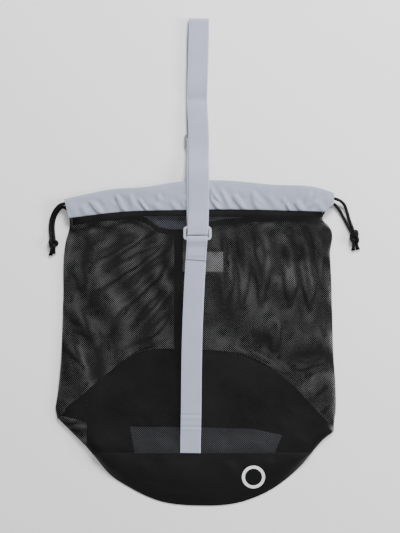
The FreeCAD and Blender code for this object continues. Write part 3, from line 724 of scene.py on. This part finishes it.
def top_height(x, y):
    """How high the cloth of the bag's front lies."""
    held = np.exp(-(((x - 0.002) / 0.045) ** 2))
    near_hem = ease((y - 0.055) / 0.045)
    near_seam = ease((SEAM + 0.05 - y) / 0.05)
    level = FRONT_Z + (HELD_Z - FRONT_Z) * np.maximum.reduce([held, near_hem, near_seam])
    roll = np.sqrt(1 - (1 - np.clip(inset(x, y) / 0.034, 0, 1)) ** 2)
    return EDGE_Z + (level - EDGE_Z) * roll


def keep_under(z, limit):
    """Rounds heights off softly below a limit."""
    soft = 0.002
    room = limit - soft
    over = np.maximum(z - room, 0)
    return np.where(z > room, room + soft * (1 - np.exp(-over / soft)), z)


def front_folds(x, y):
    """The folds of the front mesh, calm at its edges and under the strap."""
    margin, top = 0.02, 0.088
    calm = ease(inset(x, y) / margin) * ease((top - y) / margin) * ease((y - SEAM) / margin)
    calm = calm * (1 - 0.85 * np.exp(-((x / 0.024) ** 2)))
    folds = 0.0010 * soft_noise(x, y, 0.040, 1) + 0.0004 * soft_noise(x, y, 0.016, 2)
    return calm * (folds + creases(x, y, FRONT_FOLDS))


def front_height(x, y):
    """How high the front mesh lies, folds and all, down to where the collar takes it in."""
    under_straps = 0.0197
    z = keep_under(top_height(x, y) + front_folds(x, y), under_straps)
    into_collar = ease((y - smooth_curve(HEM, x) + 0.009) / 0.009)
    return z + (COLLAR_MIDDLE - 0.0004 - z) * into_collar


def make_mesh_front():
    """The front mesh panel, folded as it fell, from the base seam to the collar's hem."""
    s, t = unit_grid(170, 200)
    spacing = 0.35 * (0.5 - 0.5 * np.cos(s * math.pi)) + 0.65 * s  # closer near the sides
    low = SEAM + 0.001
    y = low + t * (0.090 - SEAM) + 0 * s
    for _ in range(3):
        left, right = side_edges(y)
        x = left + (right - left) * spacing
        y = low + t * (smooth_curve(HEM, x) + 0.004 - SEAM)
    grid = grid_of(x, y, front_height(x, y))
    cloth = 0.25 * cloth_places(grid) + 0.75 * grid_of(x, y, 0)
    drawn = 0.35 * front_folds(x, y)  # folds draw the knit along with them
    cloth[..., 0] += drawn + 0.0006 * soft_noise(x, y, 0.11, 3)
    cloth[..., 1] += drawn + 0.0006 * soft_noise(x, y, 0.12, 4)
    piece = grid_piece("mesh_front", grid, MESH, cloth=cloth)
    lay(piece, "mesh", "mesh_front_panel", (0.508, 0.438), ["mesh_back"])


def back_height(x, y):
    """How high the cloth of the bag's back lies on the floor."""
    inside = inset(x, y)
    roll = (1 - np.clip(inside / 0.010, 0, 1)) ** 2
    level = FLOOR_Z + 0.0008 * (1 + soft_noise(x, y, 0.05, 6)) * ease(inside / 0.02)
    over_anchor = ease((0.032 - np.abs(x - 0.002)) / 0.010) * ease((y - 0.045) / 0.02)
    return level + (EDGE_Z - level) * roll + 0.0018 * over_anchor


def back_cloth(x, y):
    """Flat places in the back mesh, turned a little from the front's, as sewn."""
    turn = math.radians(2.0)
    u = x * math.cos(turn) - y * math.sin(turn) + 0.0008 * soft_noise(x, y, 0.09, 8)
    v = x * math.sin(turn) + y * math.cos(turn) + 0.0008 * soft_noise(x, y, 0.10, 9)
    return grid_of(u, v, 0)


def make_mesh_ear():
    """The back mesh in the left corner, between the round edge and the solid base."""
    left, right = -0.2505, -0.1975
    s, t = unit_grid(40, 40)
    x = left + (right - left) * s + 0 * t
    low = bottom_edge(x)
    high = np.maximum(np.interp(x, [-0.2510, right], [-0.2790, -0.2875]), low + 0.0002)
    y = low + (high - low) * t
    grid = grid_of(x, y, back_height(x, y) + 0.0004)
    return grid_piece("mesh_ear", grid, MESH, cloth=back_cloth(x, y))


def make_mesh_back():
    """The back mesh panel, flat on the floor between the arched seam and the back collar."""
    s, t = unit_grid(150, 180)
    y = -0.20 + t * 0.28 + 0 * s
    for _ in range(4):
        left, right = side_edges(y)
        x = left + (right - left) * s
        low = smooth_curve(ARCH, x) - 0.003
        y = low + t * (smooth_curve(BACK_HEM, x) + 0.006 - low)
    main = grid_piece("mesh_back", grid_of(x, y, back_height(x, y)), MESH, cloth=back_cloth(x, y))
    piece = join(main, make_mesh_ear())
    lay(piece, "mesh", "mesh_back_panel", (0.508, 0.360), ["floor"], area=0.135)


def bottom_edge(x):
    """The round base edge."""
    return smooth_curve(BOTTOM, x)


def curve(points, shift):
    """A curve through given points, moved along Y, as a function of X."""
    return lambda x: smooth_curve(points, x) + shift


def straight(y):
    """A level line as a function of X."""
    return lambda x: y + 0 * x


def base_surface(x, y):
    """The front of the base with its soft folds, falling from the seam to the round edge."""
    left, right = side_edges(SEAM + 0 * x)
    edge = np.minimum(bottom_edge(x), SEAM - 0.0005)
    down = np.clip((SEAM - y) / np.maximum(SEAM - edge, 0.004), 0, 1)
    top = top_height(np.clip(x, left + 0.001, right - 0.001), SEAM + 0 * y) + 0.0006
    z = 0.0016 + (top - 0.0016) * (1 - down**2.4)
    calm = ease((SEAM - y) / 0.015) * ease((y - edge) / 0.02)
    return z + calm * (creases(x, y, BASE_FOLDS) + 0.0006 * soft_noise(x, y, 0.035, 12))


def make_base_front():
    """The solid front of the base, with a turned edge along its seam."""
    s, t = unit_grid(60, 150)
    left, right = side_edges(SEAM - 0.001)
    x = left + (right - left) * s + 0 * t
    edge = np.minimum(bottom_edge(x), SEAM - 0.0005)
    y = edge + (SEAM - edge) * (1 - (1 - t) ** 1.3)
    grid = grid_of(x, y, base_surface(x, y))
    fold = grid[-1:]
    turns = ((0, 0.0009, -0.0002), (0, 0.0008, -0.0010), (0, -0.002, -0.0013))
    grid = np.concatenate([grid, *(fold + turn for turn in turns)], axis=0)
    piece = grid_piece("base_front", grid, BASE)
    lay(piece, "base_fabric", "base_front_panel", (0.405, 0.105), ["base_back"], area=0.029)


def make_base_back():
    """The solid back of the base, flat on the floor from the round edge up to the arch."""
    wing_end, left_cut, right_cut = -0.2520, -0.1975, 0.2495
    level = FLOOR_Z + 0.0012
    s, t = unit_grid(90, 150)
    x = left_cut + (right_cut - left_cut) * s + 0 * t
    low = bottom_edge(x)
    high = np.maximum(smooth_curve(ARCH, x), low + 0.001)
    y = low + (high - low) * t
    z = level + 0.0006 * soft_noise(x, y, 0.06, 14) * ease((y - low) / 0.02)
    main = grid_piece("base_back", grid_of(x, y, z), BASE)
    x = wing_end + (left_cut - wing_end) * s + 0 * t
    high = smooth_curve(ARCH, x)
    low = np.minimum(np.interp(x, [wing_end, -0.2420, left_cut], [-0.2800, -0.2790, -0.2885]), high)
    wing = grid_piece("base_back_wing", grid_of(x, low + (high - low) * t, level), BASE)
    lay(join(main, wing), "base_fabric", "base_back_panel", (0.50, 0.28), ["floor"], area=0.092)


make_mesh_front()
make_mesh_back()
make_base_front()
make_base_back()

# ---------------- tapes, facing, label and print


def patch(name, across, low, high, height, paint, step=0.003):
    """Cloth over a stretch of X, between two curves, as high as the height function says."""
    columns = max(3, round((across[1] - across[0]) / step) + 1)
    x = np.linspace(*across, columns)[None, :]
    low, high = low(x), high(x)
    rows = max(4, round(float(np.max(high - low)) / step) + 1)
    t = np.linspace(0, 1, rows)[:, None]
    y = low + (high - low) * t
    x = x + 0 * t
    return grid_piece(name, grid_of(x, y, height(x, y)), paint)


def on_back(x, y):
    """How high the inner face of the solid base lies."""
    return FLOOR_Z + 0.0021 + 0.0004 * soft_noise(x, y, 0.03, 21)


def beside(height, gap):
    """Heights a small gap above, or below, those of another cloth."""
    return lambda x, y: height(x, y) + gap


def make_tapes():
    """The black seam tapes inside the bag."""
    inside = ["mesh_back", "base_back"]
    on_mesh, under_front = beside(back_height, 0.0009), beside(front_height, -0.0009)

    def wavy_edge(x):
        return smooth_curve(HEM, x) - 0.012 - 0.002 * np.sin(x * 21)

    tapes = [
        ("arch_tape", (-0.236, 0.240), curve(ARCH, -0.005), curve(ARCH, 0.005), on_back),
        ("base_binding", (-0.190, 0.225), curve(BOTTOM, 0.004), curve(BOTTOM, 0.014), on_back),
        ("back_tape", (-0.039, -0.023), straight(-0.157), straight(0.049), on_mesh),
        ("collar_tape_front", (-0.222, 0.228), wavy_edge, curve(HEM, 0.002), under_front),
        ("collar_tape_back", (-0.212, 0.215), curve(BACK_HEM, -0.010), curve(BACK_HEM, 0.001), on_mesh),
    ]
    sheets = [
        ("arch_seam_tape", (0.53, 0.010), inside),
        ("base_seam_binding", (0.50, 0.010), inside),
        ("back_seam_tape", (0.206, 0.016), inside),
        ("collar_seam_tape_front", (0.45, 0.014), ["mesh_front"]),
        ("collar_seam_tape_back", (0.43, 0.011), ["mesh_back"]),
    ]
    for tape, (node, flat, rests_on) in zip(tapes, sheets, strict=True):
        lay(patch(*tape, TAPE), "black_tape", node, flat, rests_on)


def make_facing():
    """The coated facing behind the front seam, with slanted ends. Its pale grey is painted sheen, the
    light that a crease in the coated base catches.
    """
    ends = (-0.1185, 0.1554)

    def low(x):
        return SEAM - 0.001 + np.interp(x, [ends[0], -0.1100, 0.1424, ends[1]], [0.046, 0, 0, 0.031])

    def high(x):
        return SEAM + np.interp(x, [ends[0], 0.0170, 0.1050, ends[1]], [0.0480, 0.0465, 0.0435, 0.033])

    piece = patch("base_facing", ends, low, high, beside(front_height, -0.0006), FACING_PAINTED_SHEEN)
    lay(piece, "facing", "base_facing_strip", (0.283, 0.05), ["mesh_front"], area=0.0125)


def make_label():
    """The plain patch sewn to the inside of the back mesh."""
    low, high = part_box("label_patch")

    def height(x, y):
        return back_height(x, y) + 0.0011 + 0.0004 * soft_noise(x, y, 0.02, 31)

    across, low_edge, high_edge = (low[0], high[0]), straight(low[1]), straight(high[1])
    label = patch("label", across, low_edge, high_edge, height, LABEL, 0.0015)
    lay(label, "label", "label_patch", (0.0735, 0.036), ["mesh_back"])


def make_print():
    """The plain printed ring, following the cloth of the base."""
    low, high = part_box("printed_mark")
    outer, line = 0.021, 0.0055
    angle = np.linspace(0, 2 * math.pi, 97)[:-1][None, :]
    reach = np.linspace(outer, outer - line, 9)[:, None]
    x = (low[0] + high[0]) / 2 + reach * np.cos(angle)
    y = (low[1] + high[1]) / 2 + reach * np.sin(angle)
    grid = grid_of(x, y, base_surface(x, y) + 0.00025)
    ring = grid_piece("printed_ring", grid, PRINT, closed=True)
    ride_on(ring, "bag", "print", "printed_mark")


make_tapes()
make_facing()
make_label()
make_print()

# ---------------- collar

COLLAR_FOLDS = [
    # the large folds beside the strap
    (3.2, 1.6, (23, 144), (30, 128), (48, 102)),
    (2.8, 1.3, (24, 130), (30, 112), (40, 99)),
    (3.6, 1, (42, 136), (54, 118), (64, 101)),
    # on to the right end
    (3.6, 1.3, (98, 130), (112, 116), (126, 101)),
    (3.4, 0.8, (158, 118), (160, 106)),
    (4, 1.3, (211, 131), (202, 114), (190, 100)),
    (3.4, 1, (224, 114), (210, 104), (196, 98)),
    # left of the strap
    (4.2, 1, (-122, 129), (-116, 112), (-108, 96)),
    (3.2, 1, (-192, 114), (-184, 100), (-174, 90)),
    (4, 0.8, (-70, 126), (-64, 108)),
    (2.6, 1, (-26, 112), (-20, 98)),
]
PUCKERS = 18  # small folds along each hem


def hem_puckers(x, y, hem):
    """Small slanting folds that the hem's seam draws into the collar."""
    total = np.zeros_like(x)
    rng = np.random.default_rng(3)
    for place in np.linspace(-0.222, 0.226, PUCKERS):
        root_x = place + rng.uniform(-0.011, 0.011)
        root_y = smooth_curve(hem, root_x)
        long = rng.uniform(0.014, 0.034)
        lean = rng.uniform(0.45, 0.8)
        tip = (root_x - lean * long, root_y + long)
        line = [(root_x + 0.004, root_y - 0.006), (root_x, root_y + 0.001), tip]
        total += ridge(x, y, line, rng.uniform(0.0026, 0.0052), rng.uniform(0.0006, 0.0026))
    return total


def make_collar(layer, hem, drop, node):
    """One side of the collar: cloth folded along the top into a flat tunnel for the cords."""
    low, high = (np.array(c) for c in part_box(node))
    middle, half = (low[2] + high[2]) / 2, (high[2] - low[2]) / 2 - 0.0003
    s, round_trip = unit_grid(84, 400)
    t = 0.5 - 0.5 * np.cos(2 * math.pi * round_trip)
    left = hem[0][0] + (COLLAR_TOP[0][0] - hem[0][0]) * t
    mouth = [hem[-1][0], 0.2496, 0.2503, 0.2492]  # X of the right end, from hem to top
    x = left + (np.interp(t, [0, 0.42, 0.9, 1.0], mouth) - left) * s
    hem_y = smooth_curve(hem, x)
    y = hem_y + (smooth_curve(COLLAR_TOP, x) - drop - hem_y) * t
    plump = (1 - np.abs(2 * t - 1) ** 3.0) ** (1 / 2.6)  # 0 at hem and top, 1 halfway
    upper = round_trip < 0.5
    slack = 0.86 + 0.08 * soft_noise(x, y, 0.035, 41 + drop * 1000)
    folds = hem_puckers(x, y, hem) + creases(x, y, COLLAR_FOLDS)
    folds = 1.5 * folds + 0.0005 * soft_noise(x, y, 0.016, 45)
    above = middle + half * plump * slack + folds * np.sqrt(plump)
    above = np.maximum(above, middle + 0.0017 * plump)
    below = middle - 0.96 * half * plump - 0.04 * folds * np.sqrt(plump)
    under_strap = ease((0.030 - np.abs(x - 0.003)) / 0.008)
    top = high[2] + 0.0014 - 0.0013 * under_strap  # folds may rise out of the box, but not there
    z = np.clip(np.where(upper, above, below), low[2] + 0.0002, top)
    piece = grid_piece(f"collar_{layer}_cloth", grid_of(x, y, z), COLLAR)
    lies_on = "mesh_front" if layer == "front" else "floor"
    lay(piece, "collar_fabric", node, (0.488, 0.116), [lies_on], held="folded")


def make_side_seam(side, line, bulge):
    """One of the short side seams that join the front and the back of the collar."""
    path = even_points(np.array([(*p, 0.0) for p in line]), 0.001)[0]
    lift = np.linspace(0, 1, 12)[:, None]
    x = path[:, 0] + bulge * np.sin(lift * math.pi)
    seam = grid_piece(f"{side}_side_seam", grid_of(x, path[:, 1], 0.0083 + 0.0050 * lift), COLLAR)
    modify(seam, "SOLIDIFY", thickness=0.0012, offset=0.0)
    ride_on(seam, "bag", "collar_fabric", f"collar_side_seam_{side}")


make_collar("front", HEM, 0.0, "collar_front")
make_collar("back", BACK_HEM, 0.003, "collar_back")
make_side_seam("left", mm((-235.2, 111), (-232.2, 98.5), (-229, 86)), -0.0016)
make_side_seam("right", mm((246.2, 122), (248, 114), (246.6, 106)), 0.0016)

# ---------------- straps


def webbing(name, route):
    """Webbing along a smooth route, its width level, with rounded selvedges."""
    line, along = even_points(route_points(name, route), 0.0012)
    ways = unit(np.gradient(line, axis=0))
    half, thick = WEB_WIDTH / 2, WEB / 2
    flat = np.linspace(-half + 0.0007, half - 0.0007, 15)
    selvedge = [(0.9996, 0.62), (1.0, 0.0), (0.9996, -0.62)]
    upper = [(u, thick) for u in flat] + [(u * half, v * thick) for u, v in selvedge]
    section = np.array(upper + [(-u, -v) for u, v in upper])
    side = unit((1, 0, 0) - ways * ways[:, :1])
    up = np.cross(side, ways)
    offset = section[:, :1] * side[:, None, :] + section[:, 1:] * up[:, None, :]
    cloth = grid_of(section[:, 0], along[:, None], 0)
    return grid_piece(name, line[:, None, :] + offset, WEBBING, closed=True, cloth=cloth, capped=True)


# Middle line of the shoulder strap: from the return layer at the collar's edge, down round the
# ring, up the front, over the top fold and down the back to its sewn end.
SHOULDER_ROUTE = mm(
    (2.2, 166, 19.4), (2.2, 156, 20.6), (2.2, 145, 20.8), (2.2, 110, 20.8), (2.4, 75, 20.8),
    (2.8, 59, 20.8), (3.2, 51.2, 21), (3.4, 49.5, 23.4), (3.8, 51.2, 25.8), (4.2, 57, 26.1),
    (4.6, 68, 26.1), (5, 80, 24.6), (5.4, 94, 22.8), (5.8, 115, 22.6), (6.1, 138, 22.6),
    (6, 156, 22.6), (5.8, 170, 21.2), (5.6, 186, 15.5), (5.4, 202, 11.6), (5.3, 220, 11.4),
    (5, 245, 11.2), (3.6, 268, 10.4), (2.8, 284, 9.6), (2.5, 292, 7), (2.4, 298, 6.8),
    (2.8, 312, 9.8), (3.4, 330, 11.4), (4.4, 360, 11), (5.4, 400, 11), (5.9, 430, 11),
    (6.1, 440.4, 10.8), (6.1, 441.8, 6.8), (6, 440.4, 3), (5.2, 430, 2.8), (2.8, 412, 2.8),
    (2.2, 396, 2.8), (2.2, 300, 2.8), (2.2, 240, 2.8), (2, 200, 2.8), (2, 185, 2.4), (2, 170, 1.2),
    (2, 155, 0.8), (2.2, 120, 0.8), (2.2, 73.5, 0.8),
)
# The end of the return layer: from the collar's edge round the slider's middle bar.
RETURN_ROUTE = mm(
    (2.2, 165.5, 19.4), (2.2, 176, 17), (2.2, 188, 11.8), (2.2, 199, 9), (2.2, 212, 8.9),
    (2.2, 222.5, 9), (2.2, 224.8, 8.2), (2.2, 224.8, 5.6), (2.2, 222.5, 4.7), (2.2, 214, 4.7),
    (2.2, 205, 4.7),
)
# The lower strap: up from the front seam, under and round the ring's lower bar, and back.
LOWER_ROUTE = mm(
    (-9.4, -344.2, 20.6), (-9.2, -322, 20.8), (-8.8, -304, 20.8), (-8.7, -300.4, 21.9),
    (-8.7, -297.4, 20), (-8.6, -294.6, 21.3), (-8.5, -286, 20.8), (-8.3, -278.4, 21.5),
    (-8.3, -275.6, 20.1), (-8.2, -272.8, 21.2), (-8.1, -264, 20.8), (-7.6, -200, 20.8),
    (-6, -120, 20.8), (-2.8, -50, 20.8), (-0.4, -6, 20.8), (1.4, 25, 20.8), (2.4, 41, 20.8),
    (2.8, 47, 21.1), (2.9, 47.7, 23.6), (2.8, 46.2, 25.8), (2.7, 41.5, 26.1), (2.4, 36, 25.4),
    (2, 29, 22.8), (1.4, 22, 22.6), (0.8, 12, 22.6), (0.3, 4.6, 22.5),
)


def make_straps():
    """The shoulder strap, its return layer at the slider and the lower strap."""
    shoulder = webbing("shoulder_strap", SHOULDER_ROUTE)
    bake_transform(shoulder)
    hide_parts("shoulder_strap_base", "shoulder_strap_loop", "shoulder_strap_anchor")
    back = webbing("strap_return", RETURN_ROUTE)
    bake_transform(back)
    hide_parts("strap_return_layer", "slider_sewn_end")
    ride_on(webbing("lower_strap_web", LOWER_ROUTE), "bag", "webbing", "lower_strap")


def stitches(name, marks, thick):
    """Threads as small rounded bars from one point to another, sunk a little at both ends."""
    # Rings along a thread: share of its length, lift and thickness, both in thread radii.
    rings = ((0.0, -0.6, 0.7), (0.2, 0.3, 1.0), (0.5, 0.55, 1.0), (0.8, 0.3, 1.0), (1.0, -0.6, 0.7))
    sides = 6
    up = np.array((0, 0, 1))
    points, faces, cloth = [], [], []
    for start, end in marks:
        start, end = np.array(start), np.array(end)
        side = np.cross(unit(end - start), up)
        faces += (grid_faces(len(rings), sides, closed=True) + len(points)).tolist()
        for t, lift, fat in rings:
            centre = start + (end - start) * t + thick * lift * up
            for a in np.arange(sides) * 2 * math.pi / sides:
                points.append(centre + (side * math.cos(a) + up * math.sin(a)) * thick * fat)
                cloth.append((a * thick, t * 0.004, 0))
    return mesh_piece(name, points, faces, THREAD_PAINTED_SHADE, np.array(cloth))


def make_stitching():
    """The box of stitches on the lower strap's flap, and the seam of the strap's sewn end."""
    line = route_points("flap", LOWER_ROUTE)
    flap = line[line[:, 2] > 0.0222][::-1]

    def on_flap(off, y):
        """A point on the flap's face, off to one side of its middle."""
        x, z = (float(np.interp(y, flap[:, 1], flap[:, k])) for k in (0, 2))
        return (x + off, y, z + WEB / 2)

    marks = []
    for off in np.linspace(-0.0145, 0.0145, 7):
        marks += [(on_flap(off, y + 0.0048), on_flap(off - 0.0004, y)) for y in (0.0345, 0.0080)]
    for off in (-0.0158, 0.0158):
        heights = np.arange(0.0095, 0.0340, 0.0036)
        marks += [(on_flap(off, y), on_flap(off, y + 0.0026)) for y in heights]
    box = stitches("flap_stitches", marks, 0.00045)
    ride_on(box, "bag", "thread", "lower_strap_stitching")
    low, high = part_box("anchor_stitching")
    pitch, long, z = 0.00265, 0.0020, high[2] - 0.0002
    marks = []
    for y in (low[1] + 0.0004, high[1] - 0.0004):
        starts = low[0] + 0.0003 + np.arange(12) * pitch
        marks += [((x, y, z), (x + long, y, z)) for x in starts]
    seam = stitches("anchor_stitches", marks, 0.00032)
    ride_on(seam, "bag", "thread", "anchor_stitching")


def moulded_loop(name, low, high, bar_x, bar_y, corner, paint):
    """A moulded rectangular loop with rounded corners and rounded bars."""
    low, high = np.array(low), np.array(high)
    centre = (low + high) / 2
    hub = (high - low - (bar_x, bar_y, 0)) / 2 - corner
    turn = np.linspace(0, math.pi / 2, 9)
    angle = np.concatenate([turn + quarter * math.pi / 2 for quarter in range(4)])[:, None]
    cos, sin = np.cos(angle), np.sin(angle)
    path_x = centre[0] + hub[0] * np.repeat([1, -1, -1, 1], 9)[:, None] + corner * cos
    path_y = centre[1] + hub[1] * np.repeat([1, 1, -1, -1], 9)[:, None] + corner * sin
    around = np.arange(20) * math.pi / 10
    squareness = 0.62
    out = np.sign(np.cos(around)) * np.abs(np.cos(around)) ** squareness
    up = np.sign(np.sin(around)) * np.abs(np.sin(around)) ** squareness
    half_bar = (bar_x * np.abs(cos) + bar_y * (1 - np.abs(cos))) / 2
    z = centre[2] + (high[2] - low[2]) / 2 * up
    grid = grid_of(path_x + cos * out * half_bar, path_y + sin * out * half_bar, z)
    return grid_piece(name, np.concatenate([grid, grid[:1]], axis=0), paint, closed=True)


def rounded_bar(name, low, high, radius):
    """A straight moulded bar of the slider, with rounded edges."""
    spans = list(zip(low, high, strict=True))
    corners = [(x, y, z) for x in spans[0] for y in spans[1] for z in spans[2]]
    faces = [(0, 1, 3, 2), (4, 6, 7, 5), (0, 4, 5, 1), (2, 3, 7, 6), (0, 2, 6, 4), (1, 5, 7, 3)]
    return modify(mesh_piece(name, corners, faces, SLIDER), "BEVEL", width=radius, segments=4)


def make_fittings():
    """The ring between the two straps, and the three-bar slider."""
    bars = {"bar_x": 0.00545, "bar_y": 0.0052, "corner": 0.0036}
    ring = moulded_loop("strap_ring_moulded", *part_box("strap_ring"), **bars, paint=RING)
    ride_on(ring, "bag", "ring_plastic", "strap_ring")
    low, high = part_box("strap_slider")
    bar, side, thick = 0.0045, 0.0032, 0.0018
    middle = (low[1] + high[1]) / 2
    middle_low = (low[0] + 0.001, middle - 0.0025, high[2] - 0.0026)
    middle_high = (high[0] - 0.001, middle + 0.0025, high[2])
    bars = [
        ("near", low, (high[0], low[1] + bar, thick), 0.0008),
        ("far", (low[0], high[1] - bar, 0), (high[0], high[1], thick), 0.0008),
        ("left", low, (low[0] + side, high[1], high[2]), 0.0012),
        ("right", (high[0] - side, low[1], 0), high, 0.0012),
        ("middle", middle_low, middle_high, 0.0010),
    ]
    slider = join(*(rounded_bar(f"slider_{part}", *shape) for part, *shape in bars))
    slider.name = "slider_moulded"
    ride_on(slider, "slider", "slider_plastic", "strap_slider")


make_straps()
make_stitching()
make_fittings()
